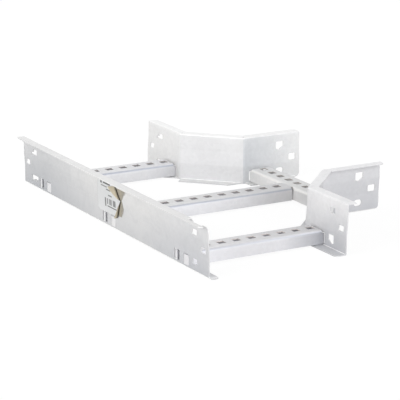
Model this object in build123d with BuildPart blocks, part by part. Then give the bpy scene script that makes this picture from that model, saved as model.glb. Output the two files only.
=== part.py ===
from build123d import *
import os
from math import floor, radians, sqrt, tan

# Plan of the tee: the run lies along X and the branch leaves it along Y. The origin is
# where their centre lines cross, level with the underside.
tray_width = 300.0
branch_width = 300.0
leg_length = 140.0
corner_run = 100.0
bend_angle = 45.0
bend_radius = 10.0

# Z-section of the side rails, measured from the outer face of the lower web
sheet = 2.0
rail_height = 100.0
top_flange = 21.0
bottom_flange = 25.0
fold_radius = 1.0
step_start = 36.0
step_end = 67.0
step_out = 2.0
step_radius = 20.0
mitre_slit = 1.6
slit_setback = 5.0

# Rungs: inverted channels, slotted on top
rung_width = 50.0
rung_top = 31.0
rung_foot = 4.0
rung_radius = 6.0
rung_setback = 4.0
rung_from_end = 100.0
slot_pitch = 33.0
slot_length = 15.5
slot_width = 14.5
weld_gap = 0.3

# Tongues of the rung walls and the windows they pass through
tongue_foot = 5.0
tongue_top = 24.0
short_tongue = 9.0
tongue_radius = 2.5
window_width = 19.0
window_height = 21.0
window_margin = 2.0
tongue_gap = 1.0

# Joint holes near the ends of the rails, as distance from the end and height
upper_hole = (50.0, 76.0)
middle_hole = (19.0, 48.5)
lower_hole = (51.0, 19.0)
branch_drop = 2.0
hole_width = 17.0
hole_height = 11.0
hole_corner = 1.5
wide_hole_height = 14.0
wide_hole_corner = 3.0
long_slot_length = 30.0
short_slot_length = 19.0
slot_hole_height = 13.0
shield_size = 18.0
shield_cut = 7.0
keyhole_shift = 5.0
keyhole_tail = 9.0
keyhole_neck = 5.0

# Ends of the flanges and webs
foot_length = 8.0
foot_width = 18.0
foot_corner = 6.0
foot_start = 40.0
flange_taper_length = 50.0
flange_taper = 3.0
flange_corner = 5.0
branch_corner = 12.0
web_corner = 10.0
slit_length = 60.0
slit_drop = 4.5
slit_reach = 12.0
notch_drop = 8.0
notch_start = 23.0
notch_end = 55.0
notch_corner = 3.0

# Paper label on the long rail
paper = 0.3
label_start = -46.0
label_bottom = 26.0
label_top_gap = 10.0
label_head = 60.0
label_shoulder = (67.0, 5.5)
label_nose = (97.0, 26.0)
label_waist = (86.0, 13.0)
label_foot = 81.0
label_corner = 9.0

# Sizes that follow from the ones above
run_length = 2 * leg_length + 2 * corner_run + branch_width
run_end = run_length / 2
front = -tray_width / 2
back = tray_width / 2
branch_side = branch_width / 2
branch_end = back + corner_run + leg_length
half = sheet / 2
bend_tangent = bend_radius * tan(radians(bend_angle / 2))
diagonal = corner_run * sqrt(2)
wall_offset = (rung_width - sheet) / 2
margin = 1.0
label_top = rail_height - label_top_gap

os.makedirs("parts", exist_ok=True)


def toward(heading):
    """Unit vector in plan at an angle from +X."""
    return Vector(1, 0, 0).rotate(Axis.Z, heading)


def section_plane(point, heading):
    """Plane across a rail: local X points out of the tray, local Y up."""
    return Plane(origin=point, x_dir=toward(heading + 90), z_dir=toward(heading))


def web_plane(point, heading):
    """Plane on the reference face of a web: local X along the heading, local Y up."""
    return Plane(origin=point, x_dir=toward(heading), z_dir=toward(heading - 90))


def z_section(plane):
    """Folded section of a side rail: foot inward, stepped web, top flange outward."""
    with BuildSketch(plane) as section:
        with BuildLine():
            FilletPolyline(
                (-bottom_flange, half),
                (-half, half),
                (-half, step_start),
                (step_out - half, step_end),
                (step_out - half, rail_height - half),
                (top_flange, rail_height - half),
                radius=(fold_radius + half, step_radius, step_radius, fold_radius + half),
            )
        trace(line_width=sheet)
    return section.sketch


def bend_section(plane):
    """Section of a plan bend: the web, and the top flange as far as the bend's centre."""
    with BuildSketch(plane) as section:
        with BuildLine():
            FilletPolyline(
                (-half, 0),
                (-half, step_start),
                (step_out - half, step_end),
                (step_out - half, rail_height - half),
                (bend_radius, rail_height - half),
                radius=(step_radius, step_radius, fold_radius + half),
            )
        trace(line_width=sheet)
    return section.sketch


def cut_foot(point, back, inward):
    """Cut the end of a bottom flange at 45 degrees beside a plan bend."""
    reach = bottom_flange + margin
    plane = Plane(origin=point, x_dir=back, z_dir=back.cross(inward))
    with BuildSketch(plane) as end:
        with BuildLine():
            Polyline((0, sheet), (0, reach), (reach - sheet, reach), close=True)
        make_face()
    extrude(end.sketch, amount=fold_radius + 2 * sheet, both=True, mode=Mode.SUBTRACT)


def corner_rail(start, heading):
    """Z-section rail with two bends to the left between its three straight lengths."""
    point = Vector(*start)
    lengths = (leg_length - bend_tangent, diagonal - 2 * bend_tangent, leg_length - bend_tangent)
    with BuildPart() as rail:
        for count, length in enumerate(lengths):
            extrude(z_section(section_plane(point, heading)), amount=length)
            if count == 2:
                break
            point += toward(heading) * length
            centre = point + toward(heading + 90) * bend_radius
            revolve(
                bend_section(section_plane(point, heading)),
                axis=Axis(centre, (0, 0, 1)),
                revolution_arc=bend_angle,
            )
            cut_foot(point, toward(heading + 180), toward(heading - 90))
            corner = point + toward(heading) * bend_tangent
            bisector = toward(heading + 90 + bend_angle / 2)
            slit_middle = corner + bisector * (slit_setback + top_flange) + Vector(0, 0, rail_height)
            with BuildSketch(Plane(origin=slit_middle, x_dir=bisector, z_dir=(0, 0, 1))):
                Rectangle(2 * top_flange, mitre_slit)
            extrude(amount=-2 * sheet, mode=Mode.SUBTRACT)
            heading += bend_angle
            point = corner + toward(heading) * bend_tangent
            cut_foot(point, toward(heading), toward(heading - 90))
    return rail.part


def cut_through_web(holes):
    """Cut a sketch drawn on the web's reference face through the web alone."""
    extrude(holes, amount=step_out + sheet + margin, both=True, mode=Mode.SUBTRACT)


def rung_windows(point, heading):
    """Two windows in the web for the tongues of one rung, centred on the point."""
    with BuildSketch(web_plane(point, heading)) as windows:
        spacing = 2 * (wall_offset + half + window_margin) - window_width
        with Locations((0, tongue_foot + window_height / 2)):
            with GridLocations(spacing, spacing, 2, 1):
                RectangleRounded(window_width, window_height, tongue_gap)
    cut_through_web(windows.sketch)


def end_holes(point, heading, upper, middle, lower):
    """The three joint holes at a rail end; the heading points away from the end."""
    with BuildSketch(web_plane(point, heading)) as holes:
        with Locations(upper_hole):
            joint_hole(upper)
        with Locations(middle_hole):
            joint_hole(middle)
        with Locations(lower_hole):
            joint_hole(lower)
    cut_through_web(holes.sketch)


def joint_hole(shape):
    """One joint hole, its local X pointing away from the rail's end."""
    if shape == "plain":
        RectangleRounded(hole_width, hole_height, hole_corner)
    elif shape == "wide":
        with Locations((0, -branch_drop)):
            RectangleRounded(hole_width, wide_hole_height, wide_hole_corner)
    elif shape == "long slot":
        RectangleRounded(long_slot_length, hole_height, hole_corner)
    elif shape == "short slot":
        SlotOverall(short_slot_length, slot_hole_height)
    elif shape == "high shield":
        side = shield_size / 2
        with Locations((0, -branch_drop)):
            Polygon((side, side), (-side, side), (-side, -side + shield_cut), (side - shield_cut, -side),
                    (side, -side + shield_cut / 3), align=None)
    elif shape == "low shield":
        side = shield_size / 2
        Polygon((side, side), (-side, side), (-side, -side + shield_cut / 3),
                (-side + shield_cut, -side), (side, -side + shield_cut), align=None)
    elif shape == "keyhole":
        near = keyhole_shift - hole_width / 2
        with Locations((keyhole_shift, 0)):
            RectangleRounded(hole_width, hole_height, hole_corner)
        with Locations((near - keyhole_tail / 2 + hole_corner, (keyhole_neck - hole_height) / 2)):
            RectangleRounded(keyhole_tail + hole_corner, keyhole_neck, hole_corner)


def plan_cut(outline, bottom, top):
    """Cut an outline in plan between two heights; the outline is a list of points."""
    with BuildSketch(Plane.XY.offset(bottom)) as cut:
        with BuildLine():
            Polyline(*outline, close=True)
        make_face()
    extrude(cut.sketch, amount=top - bottom, mode=Mode.SUBTRACT)


def round_upright(rail, x, y, z, radius):
    """Round the upright edge of a flange corner, found by the point nearest to it."""
    corner = rail.edges().filter_by(Axis.Z).sort_by_distance((x, y, z))[0]
    fillet(corner, radius=radius)


def round_web(point, heading, height, radius, up):
    """Round a web corner at a rail end; up is 1 for the top corner and -1 for the bottom one."""
    with BuildSketch(web_plane(point, heading)) as nibble:
        with BuildLine():
            RadiusArc((0, height - up * radius), (radius, height), up * radius)
            Polyline(
                (radius, height),
                (radius, height + up * margin),
                (-margin, height + up * margin),
                (-margin, height - up * radius),
                (0, height - up * radius),
            )
        make_face()
    cut_through_web(nibble.sketch)


def bare_web_end(point, heading, reach):
    """Leave only the foot flange beyond a rail's end; the heading points past the end."""
    with BuildSketch(section_plane(point, heading)) as above:
        with Locations((0, sheet + rail_height / 2)):
            Rectangle(2 * (top_flange + bottom_flange), rail_height)
    extrude(above.sketch, amount=reach + margin, mode=Mode.SUBTRACT)


# Straight rail along the run, with windows for three rungs
with BuildPart() as long_side_rail:
    extrude(z_section(section_plane((run_end + foot_length, front, 0), 180)), amount=run_length + foot_length)
    bare_web_end((run_end, front, 0), 0, foot_length)
    # Top flange: tapered at the left end, parted from the web by a slit at the right end
    plan_cut(
        [
            (-run_end - margin, front - top_flange - margin),
            (-run_end - margin, front - top_flange + flange_taper),
            (-run_end + flange_taper_length, front - top_flange),
            (-run_end + flange_taper_length, front - top_flange - margin),
        ],
        rail_height - 2 * sheet,
        rail_height + margin,
    )
    plan_cut(
        [
            (run_end - slit_length, front - slit_reach),
            (run_end + margin, front - slit_reach),
            (run_end + margin, front + margin),
            (run_end - slit_length, front + margin),
        ],
        rail_height - slit_drop,
        rail_height + margin,
    )
    with BuildSketch(web_plane((run_end, front, 0), 180)) as notch:
        with Locations(((notch_start + notch_end) / 2, rail_height - notch_drop / 2)):
            RectangleRounded(notch_end - notch_start, notch_drop, notch_corner)
    cut_through_web(notch.sketch)
    round_web((run_end, front, 0), 180, rail_height - slit_drop, web_corner, 1)
    # Bottom flange: a narrower tongue past the right end
    plan_cut(
        [
            (run_end - foot_start, front + foot_width),
            (run_end + foot_length + margin, front + foot_width),
            (run_end + foot_length + margin, front + bottom_flange + margin),
            (run_end - foot_start - bottom_flange + foot_width - margin, front + bottom_flange + margin),
        ],
        -margin,
        sheet + margin,
    )
    end_holes((-run_end, front, 0), 0, "keyhole", "plain", "long slot")
    end_holes((run_end, front, 0), 180, "plain", "plain", "plain")
    for rung_x in (-run_end + rung_from_end, 0, run_end - rung_from_end):
        rung_windows((rung_x, front, 0), 0)
    round_upright(long_side_rail, -run_end, front - top_flange + flange_taper, rail_height, flange_corner)
    round_upright(long_side_rail, run_end, front - top_flange, rail_height, foot_corner)
    round_upright(long_side_rail, run_end + foot_length, front + foot_width, 0, foot_corner)
long_side_rail.part.label = "long_side_rail"
export_step(long_side_rail.part, "parts/long_side_rail.step")


def branch_rail_end(rail, side):
    """Shape the branch end of a corner rail; side is -1 on the left and 1 on the right."""
    web = side * branch_side
    end_holes((web, branch_end, 0), -90, "high shield", "wide", "short slot")
    rung_windows((web, branch_end - rung_from_end, 0), -90)
    plan_cut(
        [
            (web - side * sheet, branch_end + margin),
            (web - side * sheet, branch_end - web_corner),
            (web - side * (bottom_flange + margin), branch_end - web_corner - bottom_flange),
            (web - side * (bottom_flange + margin), branch_end + margin),
        ],
        -margin,
        fold_radius + 2 * sheet,
    )
    round_web((web, branch_end, 0), -90, 0, web_corner, -1)
    round_upright(rail, web + side * top_flange, branch_end, rail_height, branch_corner)


# Left corner rail, from the run's left end to the branch
left_blank = corner_rail((-run_end, back, 0), 0)
with BuildPart() as left_corner_rail:
    add(left_blank)
    end_holes((-run_end, back, 0), 0, "keyhole", "plain", "plain")
    rung_windows((-run_end + rung_from_end, back, 0), 0)
    branch_rail_end(left_corner_rail, -1)
    round_upright(left_corner_rail, -run_end, back + top_flange, rail_height, flange_corner)
left_corner_rail.part.label = "left_corner_rail"
export_step(left_corner_rail.part, "parts/left_corner_rail.step")

# Right corner rail, from the branch to the run's right end
right_blank = corner_rail((branch_side, branch_end, 0), -90)
with BuildPart() as right_corner_rail:
    add(right_blank)
    end_holes((run_end, back, 0), 180, "plain", "plain", "low shield")
    rung_windows((run_end - rung_from_end, back, 0), 0)
    branch_rail_end(right_corner_rail, 1)
    round_upright(right_corner_rail, run_end, back - bottom_flange, 0, foot_corner)
right_corner_rail.part.label = "right_corner_rail"
export_step(right_corner_rail.part, "parts/right_corner_rail.step")


def rung_end(base, turn):
    """Two tongues at one end of a rung, folded inward inside the windows, flush with the web."""
    long_tongue = window_width - window_margin - tongue_gap
    with BuildSketch(base.offset(tongue_foot)) as tongues:
        for side, reach in ((turn, short_tongue), (-turn, long_tongue)):
            with BuildLine():
                FilletPolyline(
                    (rung_setback, side * wall_offset),
                    (-half, side * wall_offset),
                    (-half, side * (wall_offset + half - reach)),
                    radius=tongue_radius - half,
                )
            trace(line_width=sheet)
    extrude(tongues.sketch, amount=tongue_top - tongue_foot)


def rung(start, heading, span, turn, welded):
    """Slotted channel between two webs; turn picks the walls that carry the short tongues."""
    along = toward(heading)
    inner = span - 2 * sheet
    origin = Vector(*start) + along * sheet
    if welded:
        inner = span - sheet
    base = Plane(origin=origin, x_dir=along, z_dir=(0, 0, 1))
    section = Plane(origin=origin + along * rung_setback, x_dir=toward(heading + 90), z_dir=along)
    with BuildPart() as channel:
        with BuildSketch(section):
            with BuildLine():
                FilletPolyline(
                    (-wall_offset, rung_foot),
                    (-wall_offset, rung_top - half),
                    (wall_offset, rung_top - half),
                    (wall_offset, rung_foot),
                    radius=rung_radius - half,
                )
            trace(line_width=sheet)
        extrude(amount=inner - 2 * rung_setback)
        rung_end(base, turn)
        if welded:
            bulge = rung_radius - sqrt(rung_radius**2 - (rung_radius - sheet) ** 2)
            reach = rung_setback + bulge - weld_gap
            with BuildSketch(base.offset(rung_top)):
                with Locations((inner - rung_setback + reach / 2, 0)):
                    Rectangle(reach, rung_width - 2 * rung_radius)
            extrude(amount=-sheet)
        else:
            far = Plane(origin=origin + along * inner, x_dir=toward(heading + 180), z_dir=(0, 0, 1))
            rung_end(far, turn)
        middle = Vector(*start) + along * (span / 2) + Vector(0, 0, rung_top)
        with BuildSketch(Plane(origin=middle, x_dir=along, z_dir=(0, 0, 1))):
            with GridLocations(slot_pitch, slot_pitch, floor(span / slot_pitch), 1):
                Rectangle(slot_length, slot_width)
        extrude(amount=-2 * sheet, mode=Mode.SUBTRACT)
    return channel.part


# Rungs across the two legs of the run, along its middle, and across the branch
left_rung = rung((-run_end + rung_from_end, front, 0), 90, tray_width, 1, False)
left_rung.label = "left_rung"
export_step(left_rung, "parts/left_rung.step")

right_rung = rung((run_end - rung_from_end, front, 0), 90, tray_width, 1, False)
right_rung.label = "right_rung"
export_step(right_rung, "parts/right_rung.step")

branch_rung = rung((-branch_side, branch_end - rung_from_end, 0), 0, branch_width, -1, False)
branch_rung.label = "branch_rung"
export_step(branch_rung, "parts/branch_rung.step")

middle_span = branch_end - rung_from_end - rung_width / 2 - front
middle_rung = rung((0, front, 0), 90, middle_span, 1, True)
middle_rung.label = "middle_rung"
export_step(middle_rung, "parts/middle_rung.step")

# Paper label on the outer face of the long rail, following its step
with BuildPart() as paper_label:
    with BuildSketch(section_plane((label_start, front, 0), 0)) as wrap:
        with BuildLine():
            FilletPolyline(
                (half, label_bottom),
                (half, step_start),
                (half - step_out, step_end),
                (half - step_out, label_top),
                radius=(step_radius, step_radius),
            )
            offset(amount=half + paper / 2, side=Side.LEFT, closed=False, mode=Mode.REPLACE)
        trace(line_width=paper)
    extrude(amount=label_nose[0])
    with BuildSketch(web_plane((label_start, front, 0), 0)) as outline:
        with BuildLine():
            Polyline(
                (0, label_top),
                (label_head, label_top),
                (label_shoulder[0], label_top - label_shoulder[1]),
                (label_nose[0], label_top - label_nose[1]),
                (label_waist[0], label_bottom + label_waist[1]),
                (label_foot, label_bottom),
                (label_corner, label_bottom),
                (0, label_bottom + label_corner / 2),
                close=True,
            )
        make_face()
    extrude(outline.sketch, amount=step_out + 2 * sheet, both=True, mode=Mode.INTERSECT)
paper_label.part.label = "paper_label"
export_step(paper_label.part, "parts/paper_label.step")
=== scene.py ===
# %% [markdown]
# # Cable tray tee
#
# This lesson dresses a measured sheet-metal part: a tee for a cable ladder, with three folded
# side rails, four slotted rungs and one peeling paper label. The measured solids come in first
# and stay where they are. Everything that follows is camera, light, finish and paper.

# %% Load the measured frame
import math

import bpy
import numpy as np
from mathutils import Matrix, Vector


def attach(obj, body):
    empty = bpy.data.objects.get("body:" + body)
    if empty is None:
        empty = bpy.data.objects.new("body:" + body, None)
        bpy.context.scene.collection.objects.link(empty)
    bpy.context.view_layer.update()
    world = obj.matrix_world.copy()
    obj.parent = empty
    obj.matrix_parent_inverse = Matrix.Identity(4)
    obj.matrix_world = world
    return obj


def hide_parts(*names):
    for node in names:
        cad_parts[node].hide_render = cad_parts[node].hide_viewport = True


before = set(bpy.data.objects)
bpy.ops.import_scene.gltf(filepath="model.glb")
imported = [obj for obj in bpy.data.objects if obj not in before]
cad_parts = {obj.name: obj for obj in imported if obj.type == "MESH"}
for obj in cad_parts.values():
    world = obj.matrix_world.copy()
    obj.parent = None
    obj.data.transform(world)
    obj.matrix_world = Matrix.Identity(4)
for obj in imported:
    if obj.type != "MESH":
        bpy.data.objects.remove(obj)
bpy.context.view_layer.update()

print("nodes:", sorted(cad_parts))

# %% [markdown]
# ## Where the photographer stood
#
# A camera could be placed by eye. The rails are straight and their sizes are round numbers, so
# the corners of the part give it more exactly: a long lens a little under four metres away,
# looking down by about fifteen degrees. The three directions below are the camera's own right,
# up and backward, and as the columns of a matrix they turn it.

# %% Place the camera
CAMERA_RIGHT = (0.49964891, 0.86620478, 0.00634323)
CAMERA_UP = (-0.23415014, 0.12800629, 0.96373653)
CAMERA_BACKWARD = (0.83398122, -0.48301518, 0.26678017)
CAMERA_PLACE = (3.278937, -1.842541, 1.074883)
SENSOR_WIDTH = 36.0
FOCAL_LENGTH = 175.08

product_lens = bpy.data.cameras.new("product_lens")
product_lens.sensor_width = SENSOR_WIDTH
product_lens.lens = FOCAL_LENGTH
product_lens.clip_start = 0.05
product_lens.clip_end = 60.0
camera = bpy.data.objects.new("product_camera", product_lens)
turn = Matrix((CAMERA_RIGHT, CAMERA_UP, CAMERA_BACKWARD)).transposed().to_4x4()
camera.matrix_world = Matrix.Translation(CAMERA_PLACE) @ turn
bpy.context.scene.collection.objects.link(camera)
bpy.context.scene.camera = camera
print("camera at", [round(v, 3) for v in camera.location], "lens in mm:", FOCAL_LENGTH)

# %% [markdown]
# ## Nodes from Python
#
# The sky and every finish are trees of nodes. They could be drawn in the node editor. Made by
# short functions, they keep their values in one place and are the same on each run. An input
# of a node takes either a plain value or the output of another node, and feed() allows both.

# %% Node helpers
def link(tree, source, target):
    """Join an output socket to an input socket."""
    tree.links.new(source, target)


def feed(tree, value, target):
    """Give an input socket its value: another socket, a number, a direction or a colour."""
    if isinstance(value, bpy.types.NodeSocket):
        link(tree, value, target)
    elif target.type == "RGBA":
        target.default_value = (*value, 1)
    else:
        target.default_value = value


def calculate(tree, operation, first, second=None, clamp=False):
    """A Math node on sockets or plain numbers; gives its output socket."""
    made = tree.nodes.new("ShaderNodeMath")
    made.operation = operation
    made.use_clamp = clamp
    feed(tree, first, made.inputs[0])
    if second is not None:
        feed(tree, second, made.inputs[1])
    return made.outputs[0]


def step_up(tree, share, low, high):
    """A level that goes from low to high as the share goes from nought to one."""
    return calculate(tree, "ADD", low, calculate(tree, "MULTIPLY", share, high - low))


def grey(level):
    """A grey as red, green and blue."""
    return level, level, level


print("made:", [helper.__name__ for helper in (link, feed, calculate, step_up, grey)])

# %% [markdown]
# ## A white sky
#
# Behind the part the photograph is pure white. More light would give that too, but it would
# wash out the zinc. So the world is white for the camera and for the rays that metal or glass
# sends on, and about half as bright for the rest. The Light Path node tells these rays apart.

# %% Sky
def sees_white(tree):
    """One for the camera's rays and for those that metal or glass sends on, nought for others."""
    rays = tree.nodes.new("ShaderNodeLightPath").outputs
    sent_on = calculate(tree, "MAXIMUM", rays["Is Glossy Ray"], rays["Is Transmission Ray"])
    return calculate(tree, "MAXIMUM", rays["Is Camera Ray"], sent_on)


SKY_LEVEL = 0.535
world = bpy.data.worlds.new("white_studio")
world.use_nodes = True
bpy.context.scene.world = world
tree = world.node_tree
background = tree.nodes["Background"]
feed(tree, grey(1.0), background.inputs["Color"])
feed(tree, step_up(tree, sees_white(tree), SKY_LEVEL, 1.0), background.inputs["Strength"])
bpy.context.scene.view_settings.view_transform = "Standard"
print("sky", SKY_LEVEL, "nodes", len(tree.nodes))

# %% [markdown]
# ## Two suns and a panel
#
# The upright faces of the part are the bright, even ones. Two broad suns, low on the near side,
# light them: a warmer one in front of the long rail and a cooler one along the run. Area lamps
# could do it, but their light falls off along nearly 80 cm of rail. A small panel over the far
# left lifts the flanges there.

# %% Lamps
def aim(lamp, source, target):
    """Place a lamp at a point and turn it towards another one."""
    lamp.location = source
    lamp.rotation_mode = "QUATERNION"
    lamp.rotation_quaternion = (Vector(source) - Vector(target)).to_track_quat("Z", "Y")
    bpy.context.scene.collection.objects.link(lamp)


# Each sun: name, the point that it shines from towards the middle, strength and tint
SUNS = [
    ("front_sun", (0.08, -1.00, 0.30), 2.12, (1.0, 0.992, 0.975)),
    ("side_sun", (1.00, 0.00, 0.30), 1.93, (0.975, 0.985, 1.0)),
]
SUN_SPREAD = math.radians(40)
for name, source, energy, tint in SUNS:
    sun = bpy.data.lights.new(name, "SUN")
    sun.energy = energy
    sun.angle = SUN_SPREAD
    sun.color = tint
    aim(bpy.data.objects.new(name, sun), source, (0, 0, 0))
    print(name, energy)
panel = bpy.data.lights.new("far_panel", "AREA")
panel.energy = 1.3
panel.size = 0.8
aim(bpy.data.objects.new("far_panel", panel), (-1.1, 0.1, 1.0), (-0.25, 0.0, 0.05))
print("far_panel", panel.energy)

# %% [markdown]
# ## The floor
#
# The part stands on a white floor with only a faint shadow. A curved backdrop isn't needed,
# because a very large sheet meets the white sky far away. The camera and the gloss of the metal
# see the sheet white. The matte share of the metal sees it as dull grey, because light from a
# white floor would fill the slots and hollows, which are dark in the photograph.

# %% Floor
FLOOR_REACH = 15.0
FLOOR_DROP = 0.0004
SQUARE = np.array([(-1, -1, 0), (1, -1, 0), (1, 1, 0), (-1, 1, 0)])

floor_mesh = bpy.data.meshes.new("studio_floor")
floor_mesh.from_pydata((FLOOR_REACH * SQUARE).tolist(), [], [(0, 1, 2, 3)])
floor = bpy.data.objects.new("studio_floor", floor_mesh)
floor.location.z = -FLOOR_DROP
bpy.context.scene.collection.objects.link(floor)


def blend_colours(tree, share, first, second):
    """A Mix node between two colours, each a socket or plain numbers; gives its output socket."""
    made = tree.nodes.new("ShaderNodeMix")
    made.data_type = "RGBA"
    feed(tree, first, made.inputs["A"])
    feed(tree, second, made.inputs["B"])
    feed(tree, share, made.inputs["Factor"])
    return made.outputs["Result"]


# Each pair: for the matte share of the metal, and for the rays that see white
FLOOR_MATTE = (grey(0.14), grey(0.93))
FLOOR_GLOW = ((0.94, 0.90, 0.86), grey(1.03))
FLOOR_GLOW_SHARE = (0.16, 0.89)

floor_paint = bpy.data.materials.new("floor_paint")
floor_paint.use_nodes = True
tree = floor_paint.node_tree
tree.nodes.clear()
seen = sees_white(tree)
matte = tree.nodes.new("ShaderNodeBsdfDiffuse")
feed(tree, blend_colours(tree, seen, *FLOOR_MATTE), matte.inputs["Color"])
glow = tree.nodes.new("ShaderNodeEmission")
feed(tree, blend_colours(tree, seen, *FLOOR_GLOW), glow.inputs["Color"])
both = tree.nodes.new("ShaderNodeMixShader")
feed(tree, step_up(tree, seen, *FLOOR_GLOW_SHARE), both.inputs[0])
link(tree, matte.outputs[0], both.inputs[1])
link(tree, glow.outputs[0], both.inputs[2])
link(tree, both.outputs[0], tree.nodes.new("ShaderNodeOutputMaterial").inputs["Surface"])
floor_mesh.materials.append(floor_paint)
print("floor", 2 * FLOOR_REACH, "m wide, nodes", len(tree.nodes))

# %% [markdown]
# ## Groups of nodes
#
# The same effects come back in many finishes. Their nodes could be copied each time, but a node
# group is built once, has named inputs and outputs, and is placed in each material with its own
# values. The helpers below start a group and add what goes into one.

# %% Group helpers
def open_group(name, inputs, outputs):
    """Start a shader node group with named sockets; gives its tree, input and output nodes."""
    group = bpy.data.node_groups.new(name, "ShaderNodeTree")
    for label, kind, value in inputs:
        socket = group.interface.new_socket(label, in_out="INPUT", socket_type=kind)
        if value is not None:
            socket.default_value = value
    for label, kind in outputs:
        group.interface.new_socket(label, in_out="OUTPUT", socket_type=kind)
    given = group.nodes.new("NodeGroupInput").outputs
    result = group.nodes.new("NodeGroupOutput").inputs
    return group, given, result


def feed_by_name(tree, node, values):
    """Feed the inputs of a node that are named, with spaces written as underscores."""
    for name, value in values.items():
        feed(tree, value, node.inputs[name.replace("_", " ")])


def add_node(tree, kind, **values):
    """Add a shader node and feed its inputs by name."""
    made = tree.nodes.new(kind)
    feed_by_name(tree, made, values)
    return made


def noise(tree, place, **values):
    """A Noise Texture over a place; gives its output, from nought to one."""
    return add_node(tree, "ShaderNodeTexNoise", Vector=place, **values).outputs["Fac"]


def vector_math(tree, operation, first, second):
    """A Vector Math node on two places, directions or colours; gives its outputs."""
    made = tree.nodes.new("ShaderNodeVectorMath")
    made.operation = operation
    feed(tree, first, made.inputs[0])
    feed(tree, second, made.inputs[1])
    return made.outputs


def swing(tree, source, amount):
    """From minus half the amount to plus half of it as the source goes from nought to one."""
    return calculate(tree, "MULTIPLY", calculate(tree, "SUBTRACT", source, 0.5), amount)


def total(tree, *values):
    """The sum of several sockets or numbers."""
    answer = values[0]
    for value in values[1:]:
        answer = calculate(tree, "ADD", answer, value)
    return answer


helpers = (open_group, feed_by_name, add_node, noise, vector_math, swing, total)
print("made:", [helper.__name__ for helper in helpers])

# %% [markdown]
# ## What zinc looks like
#
# Hot-dip galvanised strip is not one grey. It has a faint mosaic of zinc crystals a few
# millimetres wide, slow clouds where the bath cooled unevenly, and fine streaks along the
# rolling direction. All of it is slight here, because the photograph shows a dull surface. An
# image would need unwrapping on every bent piece. Textures worked out from Object coordinates
# have real sizes and no seams. The group gives a tone, a roughness and a height.

# %% Zinc surface group
zinc_surface, given, result = open_group(
    "zinc_surface",
    [
        ("Position", "NodeSocketVector", None),
        ("Streak", "NodeSocketVector", (1.0, 1.0, 1.0)),
        ("Crystal Size", "NodeSocketFloat", 160.0),
        ("Crystals", "NodeSocketFloat", 0.05),
        ("Clouds", "NodeSocketFloat", 0.10),
        ("Streaks", "NodeSocketFloat", 0.05),
    ],
    [
        ("Tone", "NodeSocketFloat"),
        ("Roughness", "NodeSocketFloat"),
        ("Height", "NodeSocketFloat"),
    ],
)
tree = zinc_surface
place = given["Position"]
mosaic = add_node(tree, "ShaderNodeTexVoronoi", Vector=place, Scale=given["Crystal Size"])
crystal = tree.nodes.new("ShaderNodeSeparateColor")  # three chance values for each crystal
feed(tree, mosaic.outputs["Color"], crystal.inputs[0])
clouds = noise(tree, place, Scale=11.0, Detail=4.0, Roughness=0.55, Distortion=0.4)
along = vector_math(tree, "MULTIPLY", place, given["Streak"])["Vector"]
streaks = noise(tree, along, Scale=420.0, Detail=3.0, Roughness=0.6)
grain = noise(tree, place, Scale=1500.0, Detail=2.0)
tone = total(
    tree,
    1.0,
    swing(tree, crystal.outputs[0], given["Crystals"]),
    swing(tree, clouds, given["Clouds"]),
    swing(tree, streaks, given["Streaks"]),
)
feed(tree, tone, result["Tone"])
rough = total(
    tree,
    swing(tree, crystal.outputs[1], 0.10),
    swing(tree, clouds, 0.22),
    swing(tree, streaks, 0.12),
)
feed(tree, rough, result["Roughness"])
height = total(
    tree,
    calculate(tree, "MULTIPLY", streaks, 0.5),
    grain,
    calculate(tree, "MULTIPLY", crystal.outputs[2], 0.25),
)
feed(tree, height, result["Height"])
print("group", zinc_surface.name, "nodes", len(zinc_surface.nodes))

# %% [markdown]
# ## Edges and folds
#
# A sheared edge is bright where it was cut. The same edge colour also carries painted light: a
# painted highlight along the folds of the rails and a painted dark reflection along the folds and
# slot rims of the rungs.
# The edges could be marked by hand, face by face. The Bevel node finds them by itself: it looks
# at the surface a little way round each point, so where its normal parts from the true one
# there is an edge. A noise breaks the line up, as handling does.

# %% Worn edge group
EDGE_GAIN = 6.0

edge_wear_and_reflection, given, result = open_group(
    "edge_wear_and_reflection",
    [
        ("Position", "NodeSocketVector", None),
        ("Width", "NodeSocketFloat", 0.0012),
        ("Breakup", "NodeSocketFloat", 0.5),
    ],
    [("Edge", "NodeSocketFloat")],
)
tree = edge_wear_and_reflection


def face_direction(tree):
    """The way that the surface looks."""
    return tree.nodes.new("ShaderNodeNewGeometry").outputs["Normal"]


def agreement(tree, first, second):
    """The dot product of two directions: one where they agree and nought at a right angle."""
    return vector_math(tree, "DOT_PRODUCT", first, second)["Value"]


rounded = add_node(tree, "ShaderNodeBevel", Radius=given["Width"])
rounded.samples = 4
same = agreement(tree, rounded.outputs["Normal"], face_direction(tree))
edge = calculate(tree, "SUBTRACT", 1.0, same)
edge = calculate(tree, "MULTIPLY", edge, EDGE_GAIN, clamp=True)
chips = noise(tree, given["Position"], Scale=160.0, Detail=3.0)
broken = calculate(tree, "MULTIPLY", swing(tree, chips, 2.0), given["Breakup"])
edge = calculate(tree, "MULTIPLY", edge, calculate(tree, "ADD", 1.0, broken), clamp=True)
feed(tree, edge, result["Edge"])
print("group", edge_wear_and_reflection.name, "nodes", len(edge_wear_and_reflection.nodes))

# %% [markdown]
# ## Darker low down, and handling
#
# The finish is darker towards the bottom of each piece, and fingers leave dull patches on the
# webs. The patches could be painted on by hand, but one noise gives patches of the right size,
# and the height above the floor is enough to say how much darker a point is.

# %% Handling group
LOW_DARKENING_FALL = 11.0  # per metre, so that nothing above 91 mm is darkened
PATCHES_FROM = 0.48

handling, given, result = open_group(
    "handling",
    [("Position", "NodeSocketVector", None), ("Amount", "NodeSocketFloat", 0.5)],
    [("Mask", "NodeSocketFloat")],
)
tree = handling


def split(tree, vector):
    """The X, Y and Z outputs of a vector."""
    made = tree.nodes.new("ShaderNodeSeparateXYZ")
    feed(tree, vector, made.inputs[0])
    return made.outputs


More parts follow.
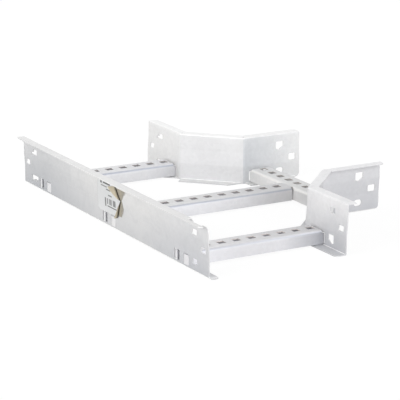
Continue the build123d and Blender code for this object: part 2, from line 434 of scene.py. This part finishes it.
patches = noise(tree, given["Position"], Scale=26.0, Detail=5.0, Roughness=0.62, Distortion=0.8)
patches = calculate(tree, "SUBTRACT", patches, PATCHES_FROM)
patches = calculate(tree, "MULTIPLY", patches, 3.0, clamp=True)
# Darker towards the bottom, fading out at 91 mm
rise = calculate(tree, "MULTIPLY", split(tree, given["Position"])["Z"], LOW_DARKENING_FALL)
low_down = calculate(tree, "SUBTRACT", 1.0, rise, clamp=True)
mask = total(
    tree,
    calculate(tree, "MULTIPLY", patches, 0.4),
    calculate(tree, "MULTIPLY", low_down, 1.2),
)
mask = calculate(tree, "MULTIPLY", mask, given["Amount"], clamp=True)
feed(tree, mask, result["Mask"])
print("group", handling.name, "nodes", len(handling.nodes))

# %% [markdown]
# ## Groups in a material
#
# A material has one shader, here the Principled one, which suits metal and paper alike. The
# groups stay outside it and feed its inputs. A Bump node turns a height into a tilt of the
# surface. Real relief would need millions of faces for a grain as fine as this.

# %% Material helpers
def new_finish(name):
    """A new material; gives it with its node tree and its Principled shader's inputs."""
    finish = bpy.data.materials.new(name)
    finish.use_nodes = True
    return finish, finish.node_tree, finish.node_tree.nodes["Principled BSDF"].inputs


def object_place(tree):
    """Where a point of the surface is, in metres."""
    return tree.nodes.new("ShaderNodeTexCoord").outputs["Object"]


def use_group(tree, group, **values):
    """Place a node group in a material and feed its inputs by name."""
    made = tree.nodes.new("ShaderNodeGroup")
    made.node_tree = group
    feed_by_name(tree, made, values)
    return made.outputs


def scaled(colour, factors):
    """A plain colour with each of its parts scaled."""
    return tuple(part * factor for part, factor in zip(colour, factors))


def toned(tree, colour, tone):
    """A colour, as a socket or plain numbers, scaled by a tone."""
    made = tree.nodes.new("ShaderNodeVectorMath")
    made.operation = "SCALE"
    feed(tree, colour, made.inputs[0])
    feed(tree, tone, made.inputs["Scale"])
    return made.outputs["Vector"]


def add_relief(tree, shader, height, strength, distance):
    """Tilt the surface by a height, through a Bump node."""
    bump = add_node(tree, "ShaderNodeBump", Height=height, Strength=strength, Distance=distance)
    feed(tree, bump.outputs["Normal"], shader["Normal"])


helpers = (new_finish, object_place, use_group, scaled, toned, add_relief)
print("made:", [helper.__name__ for helper in helpers])

# %% [markdown]
# ## The galvanised finish
#
# All the metal is the same strip, yet each rail and rung was cut from a different stretch of
# it. One material could serve them all. A function that makes a material for each node keeps
# them alike and still gives each its own tone, its darkening towards the bottom, its streaks
# along its own length and its own painted light and shade. In corners less light arrives, and
# the Ambient Occlusion node finds them, because its rays soon meet metal there, so the colour
# is darkened there as painted shade.

# %% Galvanised finish
HANDLED_TINT = (0.74, 0.75, 0.77)
ZINC_METALLIC = 0.30
ZINC_ROUGHNESS = 0.50


def galvanised(name, colour, streak, edge_colour, darkening, corner):
    """Zinc: the colour times the zinc's tone, duller where it was handled and darker towards the
    bottom, the edge colour along edges as wear and painted light, and painted shade in corners,
    which are given as reach, gain and darkest tone."""
    finish, tree, shader = new_finish(name)
    place = object_place(tree)
    zinc = use_group(tree, zinc_surface, Position=place, Streak=streak)
    edge = use_group(tree, edge_wear_and_reflection, Position=place)["Edge"]
    handled = use_group(tree, handling, Position=place, Amount=darkening)["Mask"]

    base = toned(tree, colour, zinc["Tone"])
    base = blend_colours(tree, handled, base, scaled(colour, HANDLED_TINT))
    base = blend_colours(tree, calculate(tree, "MULTIPLY", edge, 0.6), base, edge_colour)
    reach, gain, dark = corner
    hollow = add_node(tree, "ShaderNodeAmbientOcclusion", Distance=reach)
    hollow.samples = 8
    hollow.only_local = True
    # Painted shade: the colour goes towards its darkest tone where the occlusion rays meet metal.
    in_the_open = calculate(tree, "MULTIPLY", hollow.outputs["AO"], gain, clamp=True)
    shade = scaled(colour, (dark, dark, 1.04 * dark))
    feed(tree, blend_colours(tree, in_the_open, shade, base), shader["Base Color"])

    dulled = calculate(tree, "MULTIPLY", handled, 0.12)
    polished = calculate(tree, "MULTIPLY", edge, 0.12)
    rough = total(tree, ZINC_ROUGHNESS, zinc["Roughness"], dulled)
    rough = calculate(tree, "SUBTRACT", rough, polished, clamp=True)
    feed(tree, rough, shader["Roughness"])
    feed(tree, ZINC_METALLIC, shader["Metallic"])
    add_relief(tree, shader, zinc["Height"], 0.12, 0.0004)
    return finish


ALONG_X = (0.06, 1.0, 1.0)
ALONG_Y = (1.0, 0.06, 1.0)
# The pale edge colour is wear together with a painted highlight on the folds. The blue one is a
# painted dark reflection on the folds and slot rims of the rungs.
PALE_EDGE_AND_HIGHLIGHT = (0.93, 0.93, 0.92)
BLUE_EDGE_DARK_REFLECTION = (0.42, 0.45, 0.53)
print("zinc: metallic", ZINC_METALLIC, "roughness about", ZINC_ROUGHNESS)

# %% [markdown]
# ## The rails
#
# On a side rail the inside of the bottom fold is a bright line, and each top flange has a tone
# of its own. Both could be pieces of their own, but the measured mesh isn't to be cut. So the
# height of a point and how level its face is say where it lies, and masks made of these two
# touch up the finish.

# %% Rail finishes
def base_colour(finish):
    """A finish's node tree, its Base Color input and the socket that feeds this input so far."""
    target = finish.node_tree.nodes["Principled BSDF"].inputs["Base Color"]
    return finish.node_tree, target, target.links[0].from_socket


def height_and_level(tree):
    """The height of a point in metres, and how level its face is: one on a flat top."""
    height = split(tree, object_place(tree))["Z"]
    return height, calculate(tree, "ABSOLUTE", split(tree, face_direction(tree))["Z"])


BOTTOM_FOLD_TO = 0.006
TOP_FLANGE_FROM = 0.095
FOLD_HIGHLIGHT = (0.95, 0.95, 0.94)


def paint_fold_highlight(finish, flange_light_tone):
    """Paint a highlight on the inside of a rail's bottom fold, where the face is neither level
    nor upright, and paint light on its level top flange by changing its tone."""
    tree, target, base = base_colour(finish)
    height, level = height_and_level(tree)
    tilted = calculate(tree, "GREATER_THAN", level, 0.2)
    not_level = calculate(tree, "LESS_THAN", level, 0.97)
    fold = calculate(tree, "MULTIPLY", tilted, not_level)
    low_down = calculate(tree, "LESS_THAN", height, BOTTOM_FOLD_TO)
    fold = calculate(tree, "MULTIPLY", calculate(tree, "MULTIPLY", fold, low_down), 0.85)
    # Painted highlight in the bottom fold
    base = blend_colours(tree, fold, base, FOLD_HIGHLIGHT)
    flat = calculate(tree, "GREATER_THAN", level, 0.9)
    high_up = calculate(tree, "GREATER_THAN", height, TOP_FLANGE_FROM)
    flange = calculate(tree, "MULTIPLY", flat, high_up)
    # Painted light on the level top flange
    changed = vector_math(tree, "MULTIPLY", base, grey(flange_light_tone))["Vector"]
    feed(tree, blend_colours(tree, flange, base, changed), target)


# Each rail: colour, edge colour, darkening, painted corner shade as reach, gain and darkest
# tone, tone of the painted flange light
RAILS = {
    "long_side_rail": ((0.755, 0.753, 0.752), PALE_EDGE_AND_HIGHLIGHT, 0.8, (0.07, 2.0, 0.55), 1.0),
    "left_corner_rail": ((0.745, 0.745, 0.745), grey(0.80), 0.06, (0.04, 2.0, 0.6), 1.18),
    "right_corner_rail": ((0.735, 0.733, 0.743), PALE_EDGE_AND_HIGHLIGHT, 0.6, (0.10, 1.8, 0.45), 1.12),
}
finishes = {}
for node_name, (colour, edge_colour, darkening, corner, flange_light_tone) in RAILS.items():
    finish = galvanised("zinc_" + node_name, colour, ALONG_X, edge_colour, darkening, corner)
    paint_fold_highlight(finish, flange_light_tone)
    finishes[node_name] = finish
    print(finish.name, "nodes", len(finish.node_tree.nodes))

# %% [markdown]
# ## The rungs
#
# A rung is a channel 31 mm high, open below, with a row of tie slots in its top. A thin line
# under its top is a painted reflection along the fold, dark and bluish on three rungs and light
# on the branch rung, and the cut walls of the slots carry painted shade. A second material on
# chosen faces could colour them, but the line lies in the middle of a face, so these are masks
# by height too.

# %% Rung finishes
# Height and width of the painted reflection line along the fold
FOLD_LINE = 0.0280
FOLD_LINE_FALL = 420.0  # per metre, for a line about 5 mm wide
SLOT_WALLS_FROM = 0.0291
RUNG_DARKENING = 0.1


def shade_rung(finish, colour, fold, slot_shade_tone):
    """Paint a reflection line along the fold of a rung, under its top, and shade on the walls of
    its slots.
    """
    tree, target, base = base_colour(finish)
    height, level = height_and_level(tree)
    off_line = calculate(tree, "ABSOLUTE", calculate(tree, "SUBTRACT", height, FOLD_LINE))
    fall = calculate(tree, "MULTIPLY", off_line, FOLD_LINE_FALL)
    line = calculate(tree, "SUBTRACT", 1.15, fall, clamp=True)
    # Painted reflection along the fold
    base = blend_colours(tree, line, base, scaled(colour, fold))
    # Painted shade on the slot walls
    upright = calculate(tree, "LESS_THAN", level, 0.3)
    high_up = calculate(tree, "GREATER_THAN", height, SLOT_WALLS_FROM)
    wall = calculate(tree, "MULTIPLY", upright, high_up)
    feed(tree, blend_colours(tree, wall, base, scaled(colour, slot_shade_tone)), target)


SLOT_WALL_SHADE = (0.60, 0.55, 0.52)
# Each rung: colour, streaks, edge colour, darkest tone of the painted corner shade, tone of the
# painted fold reflection, tone of the painted slot wall shade
RUNGS = {
    "left_rung": (
        (0.755, 0.755, 0.77), ALONG_Y, BLUE_EDGE_DARK_REFLECTION, 0.8, (0.535, 0.56, 0.63), SLOT_WALL_SHADE,
    ),
    "middle_rung": (
        (0.75, 0.748, 0.755), ALONG_Y, BLUE_EDGE_DARK_REFLECTION, 0.8, (0.57, 0.59, 0.65), SLOT_WALL_SHADE,
    ),
    "right_rung": (
        (0.73, 0.725, 0.745), ALONG_Y, BLUE_EDGE_DARK_REFLECTION, 1.0, (0.80, 0.82, 0.86), (1.0, 0.93, 0.86),
    ),
    "branch_rung": (
        (0.73, 0.73, 0.73), ALONG_X, (0.80, 0.79, 0.77), 0.8, (1.05, 1.04, 1.02), SLOT_WALL_SHADE,
    ),
}
for node_name, (colour, streak, edge_colour, dark, fold, slot_shade_tone) in RUNGS.items():
    corner = (0.08, 1.8, dark)
    finish = galvanised("zinc_" + node_name, colour, streak, edge_colour, RUNG_DARKENING, corner)
    shade_rung(finish, colour, fold, slot_shade_tone)
    finishes[node_name] = finish
    print(finish.name, "nodes", len(finish.node_tree.nodes))

# %% [markdown]
# ## Painted light and shade
#
# Along each piece the colour goes slowly from lighter to darker as painted light and painted
# shade, such as the shade near the joints and the light at the near ends. Lamps could shade it
# so, but a lamp reaches every piece at once. A round patch in the finish, with its full tone at
# the middle and none at its reach, stays on the faces that look one way, and it is the same
# from every side.

# %% Painted light and shade patches
def paint_light_patch(finish, facing, centre, reach, tone):
    """Paint shade or light on the faces that look one way, less and less from the centre to the
    reach.
    """
    tree, target, base = base_colour(finish)
    looks = agreement(tree, face_direction(tree), facing)
    away = vector_math(tree, "DISTANCE", object_place(tree), centre)["Value"]
    fall = calculate(tree, "MULTIPLY", away, 1 / reach)
    near = calculate(tree, "SUBTRACT", 1.0, fall, clamp=True)
    share = calculate(tree, "MULTIPLY", near, calculate(tree, "GREATER_THAN", looks, 0.9))
    changed = vector_math(tree, "MULTIPLY", base, tone)["Vector"]
    feed(tree, blend_colours(tree, share, base, changed), target)


UP = (0.0, 0.0, 1.0)
TO_RIGHT = (1.0, 0.0, 0.0)
TO_FRONT = (0.0, -1.0, 0.0)
DIAGONAL = (math.sqrt(0.5), -math.sqrt(0.5), 0.0)
# Each patch: node, the way its faces look, centre in metres, reach in metres, tone (under one
# for painted shade, over one for painted light)
LIGHT_AND_SHADE_PATCHES = [
    ("long_side_rail", TO_FRONT, (-0.310, -0.150, 0.000), 0.26, (0.76, 0.775, 0.80)),
    ("long_side_rail", TO_FRONT, (0.330, -0.150, 0.000), 0.20, (0.86, 0.87, 0.90)),
    ("long_side_rail", UP, (0.394, -0.141, 0.002), 0.03, (1.45, 1.43, 1.42)),
    ("left_corner_rail", TO_RIGHT, (-0.150, 0.250, 0.050), 0.13, (0.75, 0.77, 0.80)),
    ("left_corner_rail", DIAGONAL, (-0.200, 0.200, 0.050), 0.60, (0.86, 0.86, 0.87)),
    ("left_corner_rail", DIAGONAL, (-0.200, 0.200, -0.030), 0.15, (1.12, 1.12, 1.13)),
    ("right_corner_rail", TO_FRONT, (0.360, 0.148, 0.000), 0.10, (0.77, 0.775, 0.79)),
    ("right_corner_rail", TO_FRONT, (0.390, 0.148, 0.060), 0.30, (1.10, 1.10, 1.10)),
    ("right_corner_rail", TO_RIGHT, (0.152, 0.300, 0.050), 0.30, (0.92, 0.92, 0.93)),
    ("left_rung", TO_RIGHT, (-0.265, 0.150, 0.015), 0.07, (0.75, 0.75, 0.76)),
    ("left_rung", UP, (-0.290, -0.150, 0.031), 0.25, (1.08, 1.08, 1.06)),
    ("left_rung", UP, (-0.290, 0.150, 0.031), 0.13, (0.86, 0.86, 0.87)),
    ("middle_rung", TO_RIGHT, (0.025, 0.020, 0.015), 0.40, (1.13, 1.13, 1.15)),
    ("middle_rung", UP, (0.000, -0.150, 0.031), 0.26, (1.18, 1.18, 1.16)),
    ("middle_rung", UP, (0.000, 0.230, 0.031), 0.32, (0.85, 0.85, 0.855)),
    ("right_rung", TO_RIGHT, (0.315, 0.150, 0.015), 0.10, (0.53, 0.54, 0.56)),
    ("right_rung", TO_RIGHT, (0.315, -0.150, 0.015), 0.12, (1.20, 1.20, 1.21)),
    ("right_rung", UP, (0.290, -0.150, 0.031), 0.22, (1.28, 1.28, 1.26)),
    ("right_rung", UP, (0.290, 0.150, 0.031), 0.26, (0.80, 0.80, 0.79)),
    ("branch_rung", TO_FRONT, (0.150, 0.265, 0.015), 0.13, (0.66, 0.67, 0.69)),
    ("branch_rung", TO_FRONT, (-0.010, 0.265, 0.015), 0.12, (1.16, 1.15, 1.15)),
]
for node_name, facing, centre, reach, tone in LIGHT_AND_SHADE_PATCHES:
    paint_light_patch(finishes[node_name], facing, centre, reach, tone)
print(len(LIGHT_AND_SHADE_PATCHES), "tone patches")

# %% [markdown]
# ## Give each node its finish
#
# The measured solids are already in place, so they aren't built again. Only their material
# slots change, and their meshes stay as they were measured.

# %% Dress the rails and rungs
for node_name, finish in finishes.items():
    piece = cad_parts[node_name]
    for holder in piece.material_slots:
        holder.material = finish
    print(node_name, "->", finish.name, len(piece.data.polygons), "triangles")

# %% [markdown]
# ## The peeling label
#
# A paper label is stuck over the step of the long rail. Its right edge has come away and rolls
# up towards the viewer, so that the brown back of the paper shows. Cloth simulation could curl
# it, but not along a line chosen row by row, so the sheet is one grid: across, a length along
# the paper; up, a height on the web. Up to the line where it lets go, the paper lies on the web,
# and past that line the same length is wound on a small circle. The loose part is longest at
# the top, shorter at the bottom and shortest between them.

# %% Label surface
WEB_FACE = -0.150
STEP_FROM, STEP_TO, STEP_DEPTH = 0.036, 0.067, 0.002


def web_face(height):
    """Where the web's outer face is: at its lower face up to 36 mm, then a slope of 2 mm out to
    67 mm, and straight on."""
    return WEB_FACE - STEP_DEPTH * np.clip((height - STEP_FROM) / (STEP_TO - STEP_FROM), 0, 1)


LABEL_LEFT = -0.046
LABEL_LOW, LABEL_HIGH = 0.026, 0.090
CUT_LENGTH, CUT_HEIGHT = 0.009, 0.0045  # the lower left corner is cut off
CROWDING = 0.12  # brings the columns closer together towards the curl
# Height on the web, length of paper up to the line where it lets go, and length past it
LET_GO_ROWS = np.array([26, 39, 52, 64, 70, 84.5, 90]) / 1000
LET_GO = np.array([81, 86, 91, 97, 91, 79, 74]) / 1000
SPARE = np.array([10.5, 8.5, 6, 2.5, 9, 17, 18]) / 1000
BEND_RADIUS = 0.003
MOST_BEND = math.radians(104)
PAPER_LIFT = 0.00004
PAPER_THICKNESS = 0.0002
PAPER_UNIT, PEELED_UNIT = 0.1, 0.01  # the maps count tenths and hundredths of a metre


def label_grid(across=84, high=65):
    """Grid of the label: flat up to the letting-go line of its row, then wound on a small circle,
    out by r(1 - cos a) and along by r sin a, and past the greatest angle straight on."""
    height = np.linspace(LABEL_LOW, LABEL_HIGH, high)[:, None]
    let_go = np.interp(height, LET_GO_ROWS, LET_GO)
    spare = np.interp(height, LET_GO_ROWS, SPARE)
    start = CUT_LENGTH * np.clip((LABEL_LOW + CUT_HEIGHT - height) / CUT_HEIGHT, 0, 1)
    share = np.linspace(0, 1, across)[None, :]
    share = share + CROWDING * np.sin(np.pi * share) * share
    length = start + share * (let_go + spare - start)
    past = np.clip(length - let_go, 0, None)
    angle = np.minimum(past / BEND_RADIUS, MOST_BEND)
    straight = past - BEND_RADIUS * angle
    curled = BEND_RADIUS * np.sin(angle) + straight * np.cos(angle)
    along = LABEL_LEFT + np.minimum(length, let_go) + curled
    out = BEND_RADIUS * (1 - np.cos(angle)) + straight * np.sin(angle) + PAPER_LIFT
    rows = np.broadcast_to(height, along.shape)
    place = np.stack([along, web_face(height) - out, rows], axis=-1)
    paper = np.stack([length, rows], axis=-1) / PAPER_UNIT
    peeled = np.stack([past / PEELED_UNIT, rows / PAPER_UNIT], axis=-1)
    return place, {"paper_lengths": paper, "peeled_lengths": peeled}


place, maps = label_grid()
right_edge = round(1000 * float(place[..., 0].max() - LABEL_LEFT), 1)
print("label grid", place.shape[:2], "widest", right_edge, "mm")

# %% [markdown]
# ## From a grid to a piece
#
# A grid of points becomes a mesh of quads. Its own lengths are kept as UV maps, so that a
# pattern follows the paper round its curl. Solidify gives the sheet its thickness, and puts the
# second material on the back and the rim.

# %% Label mesh
def grid_mesh(name, place, maps):
    """Mesh of quads over a grid of points, with its own lengths kept as UV maps."""
    high, across = place.shape[:2]
    corner = np.arange(high * across).reshape(high, across)
    quads = np.stack(
        [corner[:-1, :-1], corner[:-1, 1:], corner[1:, 1:], corner[1:, :-1]], axis=-1
    ).reshape(-1, 4)
    mesh = bpy.data.meshes.new(name)
    mesh.from_pydata(place.reshape(-1, 3).tolist(), [], quads.tolist())
    for label, values in maps.items():
        layer = mesh.uv_layers.new(name=label)
        lengths = values.reshape(-1, 2)[quads.ravel()]
        layer.data.foreach_set("uv", lengths.astype(np.float32).ravel())
    mesh.polygons.foreach_set("use_smooth", np.ones(len(mesh.polygons), bool))
    mesh.update()
    return mesh


label_mesh = grid_mesh("peeling_label", place, maps)
label = bpy.data.objects.new("peeling_label", label_mesh)
bpy.context.scene.collection.objects.link(label)
thick = label.modifiers.new("paper_thickness", "SOLIDIFY")
thick.thickness = PAPER_THICKNESS
thick.offset = 1.0
thick.material_offset = 1
thick.material_offset_rim = 1
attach(label, "root")
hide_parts("paper_label")
print("label faces", len(label_mesh.polygons))

# %% [markdown]
# ## Plain grey bars
#
# The front of the label carries a few plain grey bars, and a painted shadow along its left edge
# that is made as one more bar. They could be strips of a second material, but those need faces
# of their own. A bar that is a box in the paper's own lengths needs none, and it stays on the
# paper as it curls.

# %% Print and shadow bar group
BAR_SHARPNESS = 120.0  # the soft edge of a bar is 0.8 mm wide

print_and_shadow_bar, given, result = open_group(
    "print_and_shadow_bar",
    [
        ("Paper", "NodeSocketVector", None),
        ("Left", "NodeSocketFloat", 0.0),
        ("Right", "NodeSocketFloat", 1.0),
        ("Low", "NodeSocketFloat", 0.0),
        ("High", "NodeSocketFloat", 1.0),
        ("Ink", "NodeSocketFloat", 1.0),
    ],
    [("Mask", "NodeSocketFloat")],
)


def between(tree, value, low, high):
    """One inside the two limits and nought outside, with a soft edge."""
    over = calculate(tree, "SUBTRACT", value, low)
    under = calculate(tree, "SUBTRACT", high, value)
    over = calculate(tree, "MULTIPLY", over, BAR_SHARPNESS, clamp=True)
    under = calculate(tree, "MULTIPLY", under, BAR_SHARPNESS, clamp=True)
    return calculate(tree, "MULTIPLY", over, under)


tree = print_and_shadow_bar
paper = split(tree, given["Paper"])
across = between(tree, paper["X"], given["Left"], given["Right"])
upwards = between(tree, paper["Y"], given["Low"], given["High"])
box = calculate(tree, "MULTIPLY", across, upwards)
feed(tree, calculate(tree, "MULTIPLY", box, given["Ink"]), result["Mask"])
print("group", print_and_shadow_bar.name, "nodes", len(print_and_shadow_bar.nodes))

# %% [markdown]
# ## Coated paper
#
# The label is coated paper, a little creased. A flat colour would look like plastic, so a fine
# noise gives the fibres and a slow one the creases. One function serves both sides of the
# sheet, because they are the same paper.

# %% Paper finish
# Each bar: left, right, low and high in tenths of a metre of paper, and how dark it is.
# The first one is not print but a painted shadow along the left edge of the paper.
PRINT_BARS_AND_EDGE_SHADOW = [
    (0.0, 0.02, 0.55, 0.90, 0.18),
    (0.13, 0.19, 0.82, 0.88, 0.95),
    (0.24, 0.54, 0.835, 0.872, 0.9),
    (0.15, 0.41, 0.77, 0.80, 0.7),
    (0.37, 0.56, 0.722, 0.755, 0.75),
    (0.45, 0.61, 0.615, 0.65, 0.75),
    (0.30, 0.355, 0.38, 0.565, 0.8),
    (0.39, 0.44, 0.44, 0.565, 0.7),
    (0.475, 0.60, 0.44, 0.57, 0.55),
    (0.64, 0.76, 0.44, 0.575, 0.66),
    (0.40, 0.79, 0.39, 0.42, 0.85),
]


def own_lengths(tree, name):
    """The lengths that a piece keeps in its UV map of that name."""
    made = tree.nodes.new("ShaderNodeUVMap")
    made.uv_map = name
    return made.outputs["UV"]


def paper_finish(name, colour, bars):
    """Paper: a fibrous tone and soft creases, with the given bars in its own lengths: grey print
    bars and, on the front, a painted shadow along the left edge.
    """
    finish, tree, shader = new_finish(name)
    place = object_place(tree)
    sheet = own_lengths(tree, "paper_lengths")
    fibres = noise(tree, place, Scale=700.0, Detail=4.0)
    creases = noise(tree, place, Scale=38.0, Detail=3.0, Distortion=1.2)
    tone = total(tree, 1.0, swing(tree, fibres, 0.06), swing(tree, creases, 0.08))
    bar_darkness = 0.0
    for left, right, low, high, strength in bars:
        bar = use_group(
            tree, print_and_shadow_bar,
            Paper=sheet, Left=left, Right=right, Low=low, High=high, Ink=strength,
        )
        bar_darkness = calculate(tree, "MAXIMUM", bar_darkness, bar["Mask"])
    tone = calculate(tree, "MULTIPLY", tone, calculate(tree, "SUBTRACT", 1.0, bar_darkness))
    feed(tree, toned(tree, colour, tone), shader["Base Color"])
    feed(tree, total(tree, 0.62, swing(tree, creases, 0.2)), shader["Roughness"])
    add_relief(tree, shader, creases, 0.25, 0.0005)
    return finish


widest = max(right - left for left, right, *_ in PRINT_BARS_AND_EDGE_SHADOW)
print(len(PRINT_BARS_AND_EDGE_SHADOW), "bars, the widest", round(1000 * PAPER_UNIT * widest, 1), "mm")

# %% [markdown]
# ## Front and back
#
# The front of the label is white and its back is brown, where the glue has yellowed. Hardly any
# light gets into the curl. The soft lamps of this studio don't show that on so small a radius,
# so the back is darkened by its length from the line where the paper lets go.

# %% Front and back of the label
# Painted shade on the back of the curl: where it starts, how fast it fades, and its darkest tone
CURL_SHADE_FROM, CURL_SHADE_RISE, CURL_SHADE_TONE = 0.28, 2.2, 0.06  # full tone 7.3 mm past the line

label_front = paper_finish("label_front", (0.70, 0.71, 0.722), PRINT_BARS_AND_EDGE_SHADOW)
label_back = paper_finish("label_back", (0.68, 0.61, 0.47), [])
tree, target, brown = base_colour(label_back)
past = split(tree, own_lengths(tree, "peeled_lengths"))["X"]
lit = calculate(tree, "SUBTRACT", past, CURL_SHADE_FROM)
lit = calculate(tree, "MULTIPLY", lit, CURL_SHADE_RISE, clamp=True)
feed(tree, toned(tree, brown, step_up(tree, lit, CURL_SHADE_TONE, 1.0)), target)
label_mesh.materials.append(label_front)
label_mesh.materials.append(label_back)
print("paper finishes:", [finish.name for finish in label_mesh.materials])

# %% [markdown]
# ## What the label left behind
#
# Where the paper has come away, a brown film of glue and torn fibres is left on the zinc, and
# the same film carries the painted shadow of the curl. It could be a stain in the finish of the
# rail, but it ends in torn edges of its own. So it is a grid as thin as paint, from the
# letting-go line to an uneven right edge.

# %% Glue film
FILM_LOW, FILM_HIGH = 0.031, 0.086
FILM_UNDER_LABEL = 0.001
FILM_LIFT = 0.00005
# Height on the web and the film's right edge, as a length from the label's left edge
FILM_ROWS = np.array([31, 35, 49, 65.5, 85, 86]) / 1000
FILM_RIGHT = np.array([101, 104, 112, 104, 122, 123]) / 1000


def film_grid(across=24, high=40):
    """Grid on the web: each row goes in equal steps from just under the letting-go line to the
    film's right edge."""
    height = np.linspace(FILM_LOW, FILM_HIGH, high)[:, None]
    left = np.interp(height, LET_GO_ROWS, LET_GO) - FILM_UNDER_LABEL
    edge = np.interp(height, FILM_ROWS, FILM_RIGHT)
    share = np.linspace(0, 1, across)[None, :]
    past = share * (edge - left)
    rows = np.broadcast_to(height, past.shape)
    place = np.stack([LABEL_LEFT + left + past, web_face(rows) - FILM_LIFT, rows], axis=-1)
    reach = np.stack([past / PEELED_UNIT, np.broadcast_to(share, past.shape)], axis=-1)
    return place, {"film_reach": reach}


film_mesh = grid_mesh("glue_and_shadow_film", *film_grid())
film = bpy.data.objects.new("glue_and_shadow_film", film_mesh)
bpy.context.scene.collection.objects.link(film)
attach(film, "root")
print("glue film faces", len(film_mesh.polygons))

# %% [markdown]
# ## The colour of old glue and painted shadow
#
# The film is nearly black along the letting-go line, a painted shadow under the curl, and brown
# beyond it, where glue residue and the soft painted shadow of the curl are one colour, worn thin
# to the right. Alpha lets the zinc through there, so that no hard line shows, and a noise gives
# it blotches.

# %% Glue finish
OLD_GLUE_AND_SHADOW = (0.39, 0.36, 0.295)
CURL_SHADOW_BLACK = (0.02, 0.015, 0.01)
CURL_SHADOW_FALL = 1.6  # per hundredth of a metre, so that the painted shadow ends after 6 mm

glue, tree, shader = new_finish("glue_and_shadow_film")
film_reach = split(tree, own_lengths(tree, "film_reach"))
blotches = noise(tree, object_place(tree), Scale=240.0, Detail=4.0)
fall = calculate(tree, "MULTIPLY", film_reach["X"], CURL_SHADOW_FALL)
curl_shadow = calculate(tree, "SUBTRACT", 1.0, fall, clamp=True)
# Nearly black painted shadow under the curl, then the brown of glue residue and painted shadow
feed(tree, blend_colours(tree, curl_shadow, OLD_GLUE_AND_SHADOW, CURL_SHADOW_BLACK), shader["Base Color"])
fade = calculate(tree, "SUBTRACT", 1.0, calculate(tree, "POWER", film_reach["Y"], 3.0))
cover = total(tree, fade, swing(tree, blotches, 0.6))
cover = calculate(tree, "MULTIPLY", cover, 1.1, clamp=True)
feed(tree, calculate(tree, "MAXIMUM", cover, curl_shadow), shader["Alpha"])
feed(tree, total(tree, 0.6, swing(tree, blotches, 0.3)), shader["Roughness"])
add_relief(tree, shader, blotches, 0.2, 0.0002)
film_mesh.materials.append(glue)
print(glue.name, "nodes", len(tree.nodes))
